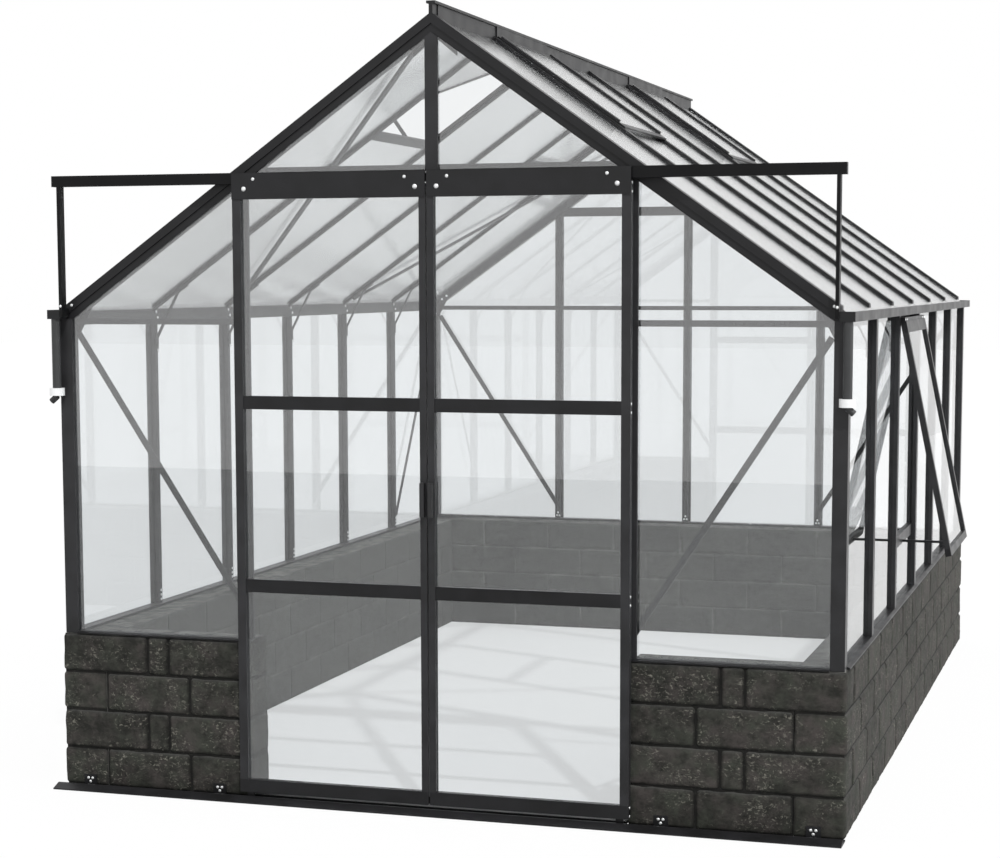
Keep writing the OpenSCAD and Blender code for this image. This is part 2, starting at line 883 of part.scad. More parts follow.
// Hanger plate through the track's slot with an axle and a roller on the ledge
module roller() {
    slot_front = track_front + track_wall;
    hanger_y = slot_front + (slot_d - hanger_t) / 2;
    roller_y = slot_front + slot_d + (ledge_d - roller_w) / 2;
    roller_z = track_z + track_wall + running + roller_d / 2;
    translate([-hanger_w / 2, hanger_y, door_h])
        cube([hanger_w, hanger_t, roller_z - door_h + hanger_w / 2]);
    translate([0, roller_y + roller_w, roller_z]) rotate([90, 0, 0]) {
        cylinder(d = roller_d, h = roller_w);
        cylinder(d = axle_d, h = roller_y + roller_w - hanger_y);
    }
}

module door_rollers() {
    color("#d8d8d4") {
        translate([door_in + roller_inset, 0, 0]) roller();
        translate([door_out - roller_inset, 0, 0]) roller();
    }
}

module door_glass() {
    glass_y = (door_front + door_back - glass_t) / 2;
    lows = [door_bottom_rail, for (share = mid_rail_shares) mid_rail_z(share) + door_rail_h];
    highs = [for (share = mid_rail_shares) mid_rail_z(share), top_rail_z];
    color(glass_colour)
        for (i = [0 : len(lows) - 1])
            block([door_in + meeting_stile_w, glass_y, lows[i] + seat],
                  [door_out - outer_stile_w, glass_y + glass_t, highs[i] - seat]);
}

handle_share = 0.4707;
handle_z = door_lift + handle_share * (door_h - door_lift);
handle_h = 104;
handle_w = 14;
handle_d = 18;

module door_handle() {
    handle_x = door_in + (meeting_stile_w - handle_w) / 2;
    color("#1c1c1d")
        block([handle_x, door_front - handle_d, handle_z],
              [handle_x + handle_w, door_front, handle_z + handle_h]);
}

module left_door_stiles() { mirror([1, 0, 0]) door_stiles(); }
module left_door_rails() { mirror([1, 0, 0]) door_rails(); }
module left_door_header() { mirror([1, 0, 0]) door_header(); }
module left_door_rollers() { mirror([1, 0, 0]) door_rollers(); }
module left_door_glass() { mirror([1, 0, 0]) door_glass(); }
module left_door_handle() { mirror([1, 0, 0]) door_handle(); }

wall_left();
wall_right();
wall_back();
wall_front_left();
wall_front_right();
threshold_rail();
sill_rails();
corner_posts();
wall_posts();
gutters();
downpipes();
downpipe_collars();
gable_rafters();
front_gable_posts();
back_gable_posts();
header_beam();
tie_rails();
roof_bars();
ridge();
door_track();
track_struts();
vent_stiles();
vent_rails();
vent_glass();
vent_trimmers();
window_stiles();
window_rails();
window_glass();
light_stays();
side_glass();
gable_glass();
roof_glass();
braces();
knee_brackets();
gusset_plates();
left_door_stiles();
left_door_rails();
left_door_header();
left_door_rollers();
left_door_glass();
left_door_handle();
door_stiles();  // right_door_stiles
door_rails();  // right_door_rails
door_header();  // right_door_header
door_rollers();  // right_door_rollers
door_glass();  // right_door_glass
door_handle();  // right_door_handle
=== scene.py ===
"""Looks of the glass greenhouse: block walls, fixings, finishes, floor, light and camera.

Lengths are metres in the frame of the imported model: X runs to the right along the front gable,
Y into the house along the ridge and Z up, from the middle of the doorway on the ground.
"""
import json
import logging
import math
from dataclasses import dataclass, field
from enum import Enum
from itertools import product
from typing import Any, Protocol

import bpy
import numpy as np
from mathutils import Matrix


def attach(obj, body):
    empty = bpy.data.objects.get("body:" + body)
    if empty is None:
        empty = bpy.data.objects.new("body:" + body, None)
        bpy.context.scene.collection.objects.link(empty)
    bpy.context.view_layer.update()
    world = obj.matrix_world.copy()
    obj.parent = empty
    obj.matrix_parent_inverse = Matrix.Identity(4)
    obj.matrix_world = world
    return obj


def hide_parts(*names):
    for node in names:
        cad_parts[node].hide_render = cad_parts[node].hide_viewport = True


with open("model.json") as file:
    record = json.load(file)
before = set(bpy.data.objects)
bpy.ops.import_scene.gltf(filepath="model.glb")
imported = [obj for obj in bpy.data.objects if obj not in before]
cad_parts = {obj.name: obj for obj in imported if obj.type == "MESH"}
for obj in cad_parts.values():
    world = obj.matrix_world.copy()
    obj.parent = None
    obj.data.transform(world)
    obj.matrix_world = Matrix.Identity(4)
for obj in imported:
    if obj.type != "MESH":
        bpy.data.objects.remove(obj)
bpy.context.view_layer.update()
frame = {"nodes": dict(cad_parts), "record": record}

LOG = logging.getLogger("greenhouse")
MM = 0.001
WHITE = "#FFFFFF"
FACTOR, COLOUR_A, COLOUR_B, COLOUR_OUT = 0, 6, 7, 2  # sockets of a Mix node that mixes colours
Array = np.ndarray
Mesh = tuple[Array, list[Array]]  # points, and an array of faces for each number of corners
Span = tuple[float, float]
Place = tuple[float, float, float]
Inputs = dict[str | int, Any]
TO_FRONT: Place = (0.0, -1.0, 0.0)
TO_BACK: Place = (0.0, 1.0, 0.0)
TO_SKY: Place = (0.0, 0.0, 1.0)


class Body(Enum):
    """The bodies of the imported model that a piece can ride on."""

    HOUSE = "house"
    LEFT_DOOR = "left_door"
    RIGHT_DOOR = "right_door"


class Slot(Enum):
    """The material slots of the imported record."""

    MASONRY = "masonry"
    FRAME = "frame"
    GLASS = "glass"
    PIPE = "pipe"
    COLLAR = "collar"
    ROLLER = "roller"
    HANDLE = "handle"


class Side(Enum):
    """The two mirrored halves of the house, as the sign of X."""

    LEFT = -1
    RIGHT = 1


# ---------------------------------------------------------------- finishes


def linear(code: str) -> tuple[float, float, float, float]:
    """Turns an sRGB hex colour into linear light with full alpha.

    Args:
        code: The colour as "#RRGGBB".

    Returns:
        Red, green, blue and alpha. Each channel is ((c + 0.055) / 1.055) ^ 2.4, or c / 12.92 near black.
    """
    parts = [int(code[i:i + 2], 16) / 255 for i in (1, 3, 5)]
    red, green, blue = (c / 12.92 if c <= 0.04045 else ((c + 0.055) / 1.055) ** 2.4 for c in parts)
    return red, green, blue, 1.0


def add(tree: bpy.types.NodeTree, kind: str, inputs: Inputs | None = None, **settings: Any) -> bpy.types.Node:
    """Adds one node, sets its properties, and fills or links its inputs.

    Args:
        tree: The node tree that gets the node.
        kind: Blender's type name of the node, after ShaderNode.
        inputs: Input name or number to a constant, or to the socket or node that feeds it. A node
            feeds it by its first output.
        **settings: Properties of the node.

    Returns:
        The new node.
    """
    made = tree.nodes.new("ShaderNode" + kind)
    for key, value in settings.items():
        setattr(made, key, value)
    for key, value in (inputs or {}).items():
        if isinstance(value, bpy.types.Node):
            value = value.outputs[0]
        if isinstance(value, bpy.types.NodeSocket):
            tree.links.new(value, made.inputs[key])
        else:
            made.inputs[key].default_value = value
    return made


def blank(name: str) -> tuple[bpy.types.Material, bpy.types.NodeTree, bpy.types.NodeSocket]:
    """Makes a node material that holds nothing but the place on the object.

    Args:
        name: The material's name.

    Returns:
        The material, its node tree and the socket of its Object coordinates.
    """
    material = bpy.data.materials.new(name)
    material.use_nodes = True
    tree = material.node_tree
    tree.nodes.clear()
    return material, tree, add(tree, "TexCoord").outputs["Object"]


@dataclass(frozen=True)
class Grain:
    """One layer of noise: how large its features are, and how fine, twisted and harsh."""

    size_mm: float
    detail: float
    twist: float = 0.0
    harshness: float = 0.5

    def inputs(self, place: bpy.types.NodeSocket) -> Inputs:
        """Gives the settings of the noise at a place, where one feature is size_mm across."""
        return {"Vector": place, "Scale": 1.0 / (self.size_mm * MM), "Detail": self.detail,
                "Roughness": self.harshness, "Distortion": self.twist}


class Finish(Protocol):
    """Anything that can make its own material."""

    def material(self) -> bpy.types.Material:
        """Makes the material."""


@dataclass(frozen=True)
class PowderCoat:
    """Polyester powder coat, sprayed and baked on extruded aluminium.

    It gives the eye an even satin anthracite, a soft sheen that turns grey at a flat angle, and
    faint orange peel.
    """

    name: str = "satin_powder_coated_aluminium"
    colour: str = "#171718"
    pale: str = "#1E1E20"
    cloud: Grain = Grain(90.0, 4.0)
    peel: Grain = Grain(4.0, 1.0)  # real orange peel is about 1 mm, drawn coarser so that it shows
    tone_span: Span = (0.35, 0.70)
    gloss_span: Span = (0.3, 0.7)
    roughness: Span = (0.34, 0.46)
    peel_strength: float = 0.05
    peel_height: float = 0.4 * MM
    sheen_level: float = 0.3

    def material(self) -> bpy.types.Material:
        """Makes the material: cloudy tone, cloudy gloss and a fine peel.

        Returns:
            The material.
        """
        material, tree, place = blank(self.name)
        cloud, peel = (add(tree, "TexNoise", layer.inputs(place)) for layer in (self.cloud, self.peel))
        tone = add(tree, "ValToRGB", {"Fac": cloud})
        for stop, position, code in zip(tone.color_ramp.elements, self.tone_span, (self.colour, self.pale)):
            stop.position, stop.color = position, linear(code)
        gloss = add(tree, "MapRange", {
            "Value": cloud, "From Min": self.gloss_span[0], "From Max": self.gloss_span[1],
            "To Min": self.roughness[0], "To Max": self.roughness[1]})
        bump = add(tree, "Bump", {
            "Height": peel, "Strength": self.peel_strength, "Distance": self.peel_height})
        skin = add(tree, "BsdfPrincipled", {
            "Base Color": tone, "Roughness": gloss, "Specular IOR Level": self.sheen_level, "Normal": bump})
        add(tree, "OutputMaterial", {"Surface": skin})
        return material


@dataclass(frozen=True)
class FloatGlass:
    """Horticultural float glass, drawn flat and cut, with a thin film of dust.

    It gives the eye a pale grey veil that clouds slightly with the dust, clear sight through, and a
    mirror of the surroundings at a flat angle. The index is matched to how strong that veil looks:
    above that of bare glass where dust and water marks add to it, and below it on panes that are
    seen almost edge on.
    """

    name: str = "clear_float_glass"
    tint: str = "#F2F4F5"
    dusty: str = "#ECEEEF"
    index: float = 2.02
    roughness: float = 0.0
    dust: Grain = Grain(420.0, 3.0)

    def material(self) -> bpy.types.Material:
        """Makes the material: a faintly clouded clear sheet that lets lamp light through.

        Returns:
            The material.
        """
        material, tree, place = blank(self.name)
        dust = add(tree, "TexNoise", self.dust.inputs(place))
        tint = add(tree, "Mix", {
            FACTOR: dust, COLOUR_A: linear(self.tint), COLOUR_B: linear(self.dusty)},
            data_type="RGBA").outputs[COLOUR_OUT]
        sheet = add(tree, "BsdfPrincipled", {
            "Base Color": tint, "Roughness": self.roughness, "IOR": self.index, "Transmission Weight": 1.0})
        clear = add(tree, "BsdfTransparent", {"Color": tint})
        path = add(tree, "LightPath").outputs
        soft = add(tree, "Math", {0: path["Is Shadow Ray"], 1: path["Is Diffuse Ray"]}, operation="MAXIMUM")
        mixed = add(tree, "MixShader", {0: soft, 1: sheet, 2: clear})
        add(tree, "OutputMaterial", {"Surface": mixed})
        return material


@dataclass(frozen=True)
class SplitBlock:
    """Dark concrete block, pressed and then split, so its face is broken stone and its arrises are worn round.

    It gives the eye a dark grey that drifts between green and brown, patches of short pale chips, near-black pits
    that are painted shade in the hollows of the split face, deep joints with a band of painted shade on the round
    arrises beside them, and no shine. The faces that aren't split, inside and on top, are a smooth pressed grey,
    weathered in patches, with paler bed joints.
    """

    name: str = "split_face_concrete_block"
    dark: str = "#20201D"
    cool: str = "#363832"
    warm: str = "#3E3A38"
    chip: str = "#8C8A80"
    # painted shade: the near-black of the pits stands in for the shade in the hollows, the low points of the chip
    # bump
    pit_shade: str = "#0E0E0D"
    # the near-black that the joint mark lays on split faces: dark mortar in the raked bed, and painted shade on
    # the round arrises of the blocks beside it
    joint: str = "#0F0F0E"
    pressed: str = "#373736"
    weathered: str = "#4A4A47"
    mortar: str = "#84847F"
    drift: Grain = Grain(80.0, 2.0, 0.0, 0.62)
    patch: Grain = Grain(120.0, 2.0, 0.4, 0.62)
    mottle: Grain = Grain(46.0, 3.0, 0.0, 0.62)
    grain: Grain = Grain(15.0, 4.0, 0.6, 0.62)
    chips: Grain = Grain(8.0, 2.0, 0.9, 0.62)  # chips are 3 to 6 mm long, drawn coarser so that they show
    lie: Place = (0.7, 0.7, 1.0)  # the split runs along the course, so the grain is longer than high
    grain_share: float = 0.8
    tone_share: float = 0.20
    drift_span: Span = (0.38, 0.62)
    level_span: Span = (0.66, 1.12)
    patch_span: Span = (0.42, 0.60)
    chip_span: Span = (0.56, 0.84)
    pit_span: Span = (0.40, 0.24)
    pointing_span: Span = (0.75, 1.0)
    bump_strength: float = 0.5
    grain_height: float = 2.5 * MM
    chip_height: float = 1.5 * MM
    roughness: float = 0.92
    specular: float = 0.25

    def material(self) -> bpy.types.Material:
        """Makes the material: drifting ground, chips, painted shade in the pits, a tone a block, joints with
        painted shade on the arrises beside them, and a gritty bump.

        The shares are noises and the piece's own marks, each mapped from its span to 0 and 1. Every row
        of the paint table then makes one colour, by a share, from one that lies under and one over it.

        Returns:
            The material.
        """
        material, tree, place = blank(self.name)
        laid = add(tree, "VectorMath", {0: place, 1: self.lie}, operation="MULTIPLY")
        drift, patch, mottle, grain, chips = (
            add(tree, "TexNoise", layer.inputs(vector)) for layer, vector in (
                (self.drift, place), (self.patch, place), (self.mottle, place), (self.grain, laid),
                (self.chips, laid)))
        tone, joint, inside = (add(tree, "Attribute", attribute_name=name).outputs["Fac"]
                               for name in ("tone", "joint", "inside"))
        level = mottle
        for value, weight in ((grain, self.grain_share), (tone, self.tone_share)):
            level = add(tree, "Math", {0: value, 1: weight, 2: level}, operation="MULTIPLY_ADD")
        drifted, worn, broken, chipped, pit_shaded, pointed, patched = (
            add(tree, "MapRange", {"Value": value, "From Min": low, "From Max": high})
            for value, (low, high) in (
                (drift, self.drift_span), (level, self.level_span), (patch, self.patch_span),
                (chips, self.chip_span), (chips, self.pit_span), (joint, self.pointing_span),
                (mottle, self.patch_span)))
        # pale chips where the chip noise is high, painted shade in the pits where the chip bump is lowest, and
        # pale pointing by the joints inside
        pale_chips, pit_shade_mask, pointing = (
            add(tree, "Math", {0: one, 1: two}, operation="MULTIPLY")
            for one, two in ((broken, chipped), (broken, pit_shaded), (pointed, patched)))
        colours: dict[str, Any] = {key: linear(getattr(self, key)) for key in (
            "dark", "cool", "warm", "chip", "pit_shade", "joint", "pressed", "weathered", "mortar")}
        for made, share, under, over in (
                ("body", drifted, "cool", "warm"),
                ("ground", worn, "dark", "body"),
                ("chipped", pale_chips, "ground", "chip"),
                # painted shade: the pits, at the low points of the chip bump, darkened to near black
                ("pit_shaded", pit_shade_mask, "chipped", "pit_shade"),
                # painted shade on the split faces' arrises near a joint, and dark mortar in the raked bed
                ("split", joint, "pit_shaded", "joint"),
                ("bare", worn, "pressed", "weathered"),
                ("smooth", pointing, "bare", "mortar"),
                ("skin", inside, "split", "smooth")):
            colours[made] = add(tree, "Mix", {
                FACTOR: share, COLOUR_A: colours[under], COLOUR_B: colours[over]},
                data_type="RGBA").outputs[COLOUR_OUT]
        rough = add(tree, "Bump", {"Height": grain, "Strength": self.bump_strength, "Distance": self.grain_height})
        fine = add(tree, "Bump", {
            "Height": chips, "Strength": self.bump_strength, "Distance": self.chip_height, "Normal": rough})
        skin = add(tree, "BsdfPrincipled", {
            "Base Color": colours["skin"], "Roughness": self.roughness,
            "Specular IOR Level": self.specular, "Normal": fine})
        add(tree, "OutputMaterial", {"Surface": skin})
        return material


@dataclass(frozen=True)
class ZincPlate:
    """Bright zinc plate on steel screws, bolts and washers.

    It gives the eye small silver points with a blurred, slightly uneven shine.
    """

    name: str = "bright_zinc_plated_steel"
    colour: str = "#F6F7F7"
    dull: str = "#E2E4E4"
    roughness: Span = (0.35, 0.55)
    spangle: Grain = Grain(5.0, 2.0)
    metallic: float = 0.6  # the clear passivate over the zinc scatters part of the light

    def material(self) -> bpy.types.Material:
        """Makes the material: mottled plate, uneven in tone and gloss.

        Returns:
            The material.
        """
        material, tree, place = blank(self.name)
        spangle = add(tree, "TexNoise", self.spangle.inputs(place))
        tone = add(tree, "Mix", {
            FACTOR: spangle, COLOUR_A: linear(self.dull), COLOUR_B: linear(self.colour)}, data_type="RGBA")
        gloss = add(tree, "MapRange", {
            "Value": spangle, "To Min": self.roughness[0], "To Max": self.roughness[1]})
        skin = add(tree, "BsdfPrincipled", {
            "Base Color": tone.outputs[COLOUR_OUT], "Metallic": self.metallic, "Roughness": gloss})
        add(tree, "OutputMaterial", {"Surface": skin})
        return material


@dataclass(frozen=True)
class MouldedPlastic:
    """Injection-moulded plastic: polypropylene, nylon or PVC.

    It gives the eye one quiet colour with a fine moulded grain and a dull, broad highlight.
    """

    name: str
    colour: str
    worn: str
    roughness: float
    cloud: Grain = Grain(30.0, 3.0)
    grain: Grain = Grain(2.5, 1.0)  # spark-eroded mould grain is below 1 mm, drawn coarser so that it shows
    grain_strength: float = 0.12
    grain_height: float = 0.3 * MM

    def material(self) -> bpy.types.Material:
        """Makes the material: slight clouding and a fine grain.

        Returns:
            The material.
        """
        material, tree, place = blank(self.name)
        cloud, grain = (add(tree, "TexNoise", layer.inputs(place)) for layer in (self.cloud, self.grain))
        tone = add(tree, "Mix", {
            FACTOR: cloud, COLOUR_A: linear(self.colour), COLOUR_B: linear(self.worn)}, data_type="RGBA")
        bump = add(tree, "Bump", {
            "Height": grain, "Strength": self.grain_strength, "Distance": self.grain_height})
        skin = add(tree, "BsdfPrincipled", {
            "Base Color": tone.outputs[COLOUR_OUT], "Roughness": self.roughness, "Normal": bump})
        add(tree, "OutputMaterial", {"Surface": skin})
        return material


SLOT_FINISHES: dict[Slot, Finish] = {
    Slot.MASONRY: SplitBlock(),
    Slot.FRAME: PowderCoat(),
    Slot.GLASS: FloatGlass(),
    Slot.PIPE: MouldedPlastic("black_pvc_pipe", "#2A2B2C", "#343536", 0.5),
    Slot.COLLAR: MouldedPlastic("white_polypropylene_collar", "#E4E5E5", "#D8D9D9", 0.45),
    Slot.ROLLER: MouldedPlastic("natural_nylon_roller", "#D8D8D4", "#C6C6C0", 0.4),
    Slot.HANDLE: MouldedPlastic("black_nylon_handle", "#1C1C1D", "#262627", 0.42),
}

# Uprights are painted paler than the rest of the frame, as painted light for the sky light they take along their
# whole length; the track is matt and painted darker, as painted shade; rain has marked the sloping panes, and the
# panes of the sides are seen almost edge on.
NODE_FINISHES: dict[tuple[str, ...], Finish] = {
    ("corner_posts", "wall_posts", "front_gable_posts", "back_gable_posts", "left_door_stiles",
     "right_door_stiles", "window_stiles"):
        # painted light: a paler base colour for the uprights
        PowderCoat("satin_powder_coated_aluminium_upright_painted_light", "#242425", "#2D2D2F"),
    ("door_track", "track_struts"):
        # painted shade: a darker base colour for the track; its lower sheen makes it matt
        PowderCoat("matt_powder_coated_aluminium_track_painted_shade", "#0C0C0D", "#121213", sheen_level=0.16),
    ("roof_glass", "vent_glass"):
        FloatGlass("rain_marked_float_glass", "#F9FAFA", "#F4F6F6", index=1.5, roughness=0.16),
    ("side_glass", "window_glass"):
        FloatGlass("side_float_glass", index=1.35),
}


class Palette:
    """Makes each finish once and hands out its material."""

    def __init__(self) -> None:
        """Makes the material of every slot, of the nodes that differ from their slot, and of the fixings."""
        self.slots = {slot: finish.material() for slot, finish in SLOT_FINISHES.items()}
        self.nodes: dict[str, bpy.types.Material] = {}
        for names, finish in NODE_FINISHES.items():
            self.nodes |= dict.fromkeys(names, finish.material())
        self.zinc = ZincPlate().material()

    def dress_frame(self, record: dict[str, Any], nodes: dict[str, bpy.types.Object]) -> None:
        """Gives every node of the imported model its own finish, or else that of its slot.

        Args:
            record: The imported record.
            nodes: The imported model's objects by node name.
        """
        for row in record["subparts"]:
            mesh = nodes[row["node"]].data
            mesh.materials.clear()
            mesh.materials.append(self.nodes.get(row["node"], self.slots[Slot(row["material_slot"])]))
            LOG.info("finish %s on %s", row["material_slot"], row["node"])


# ---------------------------------------------------------------- surfaces

NEAR_UPRIGHT = 0.9  # a direction with more of Z than this takes X as its helping axis
HASH_AXES = np.array([374761393, 668265263, 2147483647])
HASH_SEED, HASH_MIX, HASH_WORD = 362437, 1274126177, 0xFFFFFFFF


def grid_quads(rows: int, cols: int, closed: bool) -> Array:
    """Numbers the faces of a grid of points, row by row.

    Args:
        rows: Points along the first parameter.
        cols: Points along the second parameter.
        closed: Whether the second parameter runs round and joins its own start.

    Returns:
        Four point numbers a face: (i, j), (i, j + 1), (i + 1, j + 1), (i + 1, j).
    """
    i, j = np.meshgrid(np.arange(rows - 1), np.arange(cols if closed else cols - 1), indexing="ij")
    k = (j + 1) % cols
    corners = [i * cols + j, i * cols + k, (i + 1) * cols + k, (i + 1) * cols + j]
    return np.stack(corners, axis=-1).reshape(-1, 4)


def turned(profile: Array, around: int) -> Mesh:
    """Turns a profile about its own Z axis into a closed body with a pole at each end.

    Each point is (r cos a, r sin a, z), for the radius r and height z of the profile and an angle a
    that runs round.

    Args:
        profile: Radius and height of each ring from the bottom to the top.
        around: Points on a ring.

    Returns:
        The points and the faces.
    """
    angle = np.arange(around) * (2 * math.pi / around)
    radius, height = profile[:, :1], profile[:, 1:]
    rings = np.stack([radius * np.cos(angle), radius * np.sin(angle), height + 0 * angle], axis=-1)
    poles = np.array([[0.0, 0.0, profile[0, 1]], [0.0, 0.0, profile[-1, 1]]])
    first, after = np.arange(around), (np.arange(around) + 1) % around
    rows = len(profile)
    low, top = rows * around, (rows - 1) * around
    faces = [
        grid_quads(rows, around, True),
        np.stack([after, first, np.full(around, low)], axis=-1),
        np.stack([top + first, top + after, np.full(around, low + 1)], axis=-1),
    ]
    return np.vstack([rings.reshape(-1, 3), poles]), faces


def swept(outline: Array, start: Array, end: Array, across: Array, up: Array) -> Mesh:
    """Draws an outline along a straight path into a closed bar.

    Each point is start + t (end - start) + a across + b up, for the path share t and the outline's (a, b).

    Args:
        outline: The outline's points, across and up, counterclockwise.
        start: Where the path begins.
        end: Where it ends.
        across: The direction of the outline's first axis.
        up: The direction of the outline's second axis.

    Returns:
        The points and the faces.
    """
    ring = outline[:, :1] * across + outline[:, 1:] * up
    count = len(outline)
    first = np.arange(count)
    faces = [grid_quads(2, count, True), np.stack([first[::-1], first + count])]
    if np.dot(np.cross(across, up), end - start) < 0:
        faces = [block[:, ::-1] for block in faces]
    return np.vstack([start + ring, end + ring]), faces


def joined(shapes: list[Mesh]) -> Mesh:
    """Puts several shapes into one.

    Args:
        shapes: The points and faces of each.

    Returns:
        The points and faces of all.
    """
    starts = np.cumsum([0] + [len(points) for points, _ in shapes])
    faces = [block + first for first, (_, blocks) in zip(starts, shapes) for block in blocks]
    return np.vstack([points for points, _ in shapes]), faces


def set_out(shape: Mesh, centres: Array, normals: Array, sizes: Array) -> Mesh:
    """Repeats a shape at many places, with its Z axis along each place's normal.

    Each copy is centre + size * (x u + y v + z n), where u and v complete the normal n to a square
    set of axes.

    Args:
        shape: The points and faces of one copy.
        centres: One point a copy.
        normals: One outward direction a copy.
        sizes: One scale a copy.

    Returns:
        The points and faces of all the copies.
    """
    points, faces = shape
    n = normals / np.linalg.norm(normals, axis=1, keepdims=True)
    help_axis = np.where(np.abs(n[:, 2:]) < NEAR_UPRIGHT, [[0.0, 0.0, 1.0]], [[1.0, 0.0, 0.0]])
    u = np.cross(help_axis, n)
    u /= np.linalg.norm(u, axis=1, keepdims=True)
    axes = np.stack([u, np.cross(n, u), n], axis=1)
    placed = centres[:, None, :] + sizes[:, None, None] * np.einsum("pk,ckx->cpx", points, axes)
    starts = len(points) * np.arange(len(centres))[:, None, None]
    return placed.reshape(-1, 3), [(block + starts).reshape(-1, block.shape[1]) for block in faces]


def lattice_noise(points: Array, cell: float, seed: int) -> Array:
    """Gives smooth random heights from -1 to 1.

    Each corner of a cubic lattice has a hashed height, and a point takes the eight heights round it,
    each weighted by the smoothed share 3 f^2 - 2 f^3 of its place f in the cell.

    Args:
        points: Places, with X, Y and Z on the last axis.
        cell: The lattice spacing.
        seed: Picks one of many lattices.

    Returns:
        One height a place.
    """
    scaled = points / cell
    base = np.floor(scaled).astype(np.int64)
    part = scaled - base
    part = part * part * (3 - 2 * part)
    total = np.zeros(points.shape[:-1])
    for corner in product((0, 1), repeat=3):
        h = ((base + np.array(corner)) @ HASH_AXES + seed * HASH_SEED) & HASH_WORD
        h = ((h ^ (h >> 13)) * HASH_MIX) & HASH_WORD
        height = (h ^ (h >> 16)) / 2.0 ** 31 - 1
        total += height * np.prod(np.where(np.array(corner) == 1, part, 1 - part), axis=-1)
    return total


def make_piece(name: str, shape: Mesh, material: bpy.types.Material, body: Body, smooth: bool = True,
               replaced: tuple[str, ...] = (), marks: dict[str, Array] | None = None) -> None:
    """Puts a shape into the scene as a piece that rides on a body.

    Args:
        name: The piece's name.
        shape: Its points and faces.
        material: Its finish.
        body: The body it moves with.
        smooth: Whether its faces are shaded smooth.
        replaced: The nodes that it stands for.
        marks: Numbers for each point, by attribute name.
    """
    points, faces = shape
    mesh = bpy.data.meshes.new(name)
    mesh.from_pydata(points.tolist(), [], [face for block in faces for face in block.tolist()])
    mesh.polygons.foreach_set("use_smooth", np.full(len(mesh.polygons), smooth))
    for key, values in (marks or {}).items():
        mesh.attributes.new(key, "FLOAT", "POINT").data.foreach_set("value", values.astype(np.float32))
    mesh.materials.append(material)
    mesh.update()
    made = bpy.data.objects.new(name, mesh)
    bpy.context.scene.collection.objects.link(made)
    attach(made, body.value)
    if replaced:
        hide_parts(*replaced)
    LOG.info("piece %s: %d points, %d faces", name, len(points), len(mesh.polygons))


# ---------------------------------------------------------------- block walls


@dataclass
class BlockShape:
    """One closed block with round arrises and a broken face, as lines on a box.

    A line across the block stands at a (h - r) + b r from its middle, for the half size h and the
    arris radius r, so the lines in the middle spread with the block while those in the arris keep
    its radius.
    """

    long_lines: int = 26
    high_lines: int = 11
    deep_lines: int = 3
    radius: float = 12 * MM
    arris: tuple[float, ...] = (0.45, 1.0)

    def axis_lines(self, inner: int) -> Array:
        """Sets out the lines along one axis.

        Args:
            inner: How many lines stand between the arrises.

        Returns:
            The pair (a, b) of each line.
        """
        turn = np.array(self.arris)
        a = np.concatenate([-np.ones(len(turn)), np.linspace(-1, 1, inner), np.ones(len(turn))])
        b = np.concatenate([-turn[::-1], np.zeros(inner), turn])
        return np.stack([a, b], axis=-1)

    def template(self) -> tuple[Array, Array]:
        """Works out the six gridded faces of a box, joined along their edges.

        Returns:
            The pair (a, b) on each axis for each point, and the faces.
        """
        lines = [self.axis_lines(n) for n in (self.long_lines, self.deep_lines, self.high_lines)]
        counts = [len(x) for x in lines]
        keys, faces = [], []
        start = 0
        for axis, end in product(range(3), (0, 1)):
            one, two = (axis + 1) % 3, (axis + 2) % 3
            i, j = np.meshgrid(np.arange(counts[one]), np.arange(counts[two]), indexing="ij")
            key = np.zeros(i.shape + (3,), dtype=np.int64)
            key[..., axis], key[..., one], key[..., two] = end * (counts[axis] - 1), i, j
            quads = grid_quads(counts[one], counts[two], False) + start
            faces.append(quads[:, ::-1] if end else quads)
            keys.append(key.reshape(-1, 3))
            start += i.size
        unique, back = np.unique(np.vstack(keys), axis=0, return_inverse=True)
        pairs = np.stack([lines[k][unique[:, k]] for k in range(3)], axis=1)
        return pairs, back.reshape(-1)[np.vstack(faces)]


@dataclass
class BlockRun:
    """Blocks laid out along one wall: the middle, half size and arris of each, with X along the wall."""

    arris: float
    bed_arris: float = 1 * MM
    middles: list[Place] = field(default_factory=list)
    halves: list[Place] = field(default_factory=list)
    arrises: list[float] = field(default_factory=list)

    def lay(self, start: float, lengths: list[float], depth: Span, height: Span, joint: float) -> None:
        """Lays one course.

        Args:
            start: Where the course begins along the wall.
            lengths: The length of each block with its joint.
            depth: The wall's two faces.
            height: The course's bottom and top.
            joint: The gap between two blocks.
        """
        deep, high = (depth[1] - depth[0]) / 2, (height[1] - height[0]) / 2 - joint / 2
        for end, length in zip(start + np.cumsum(lengths), lengths):
            self.middles.append((end - length / 2, sum(depth) / 2, sum(height) / 2))
            self.halves.append((length / 2 - joint / 2, deep, high))
            self.arrises.append(self.arris)

    def bed(self, low: Place, high: Place) -> None:
        """Fills the joints with one sharp-edged body of mortar, which is laid after the courses.

        Args:
            low: Its lowest corner.
            high: Its highest corner.
        """
        self.middles.append(tuple((a + b) / 2 for a, b in zip(low, high)))
        self.halves.append(tuple((b - a) / 2 for a, b in zip(low, high)))
        self.arrises.append(self.bed_arris)


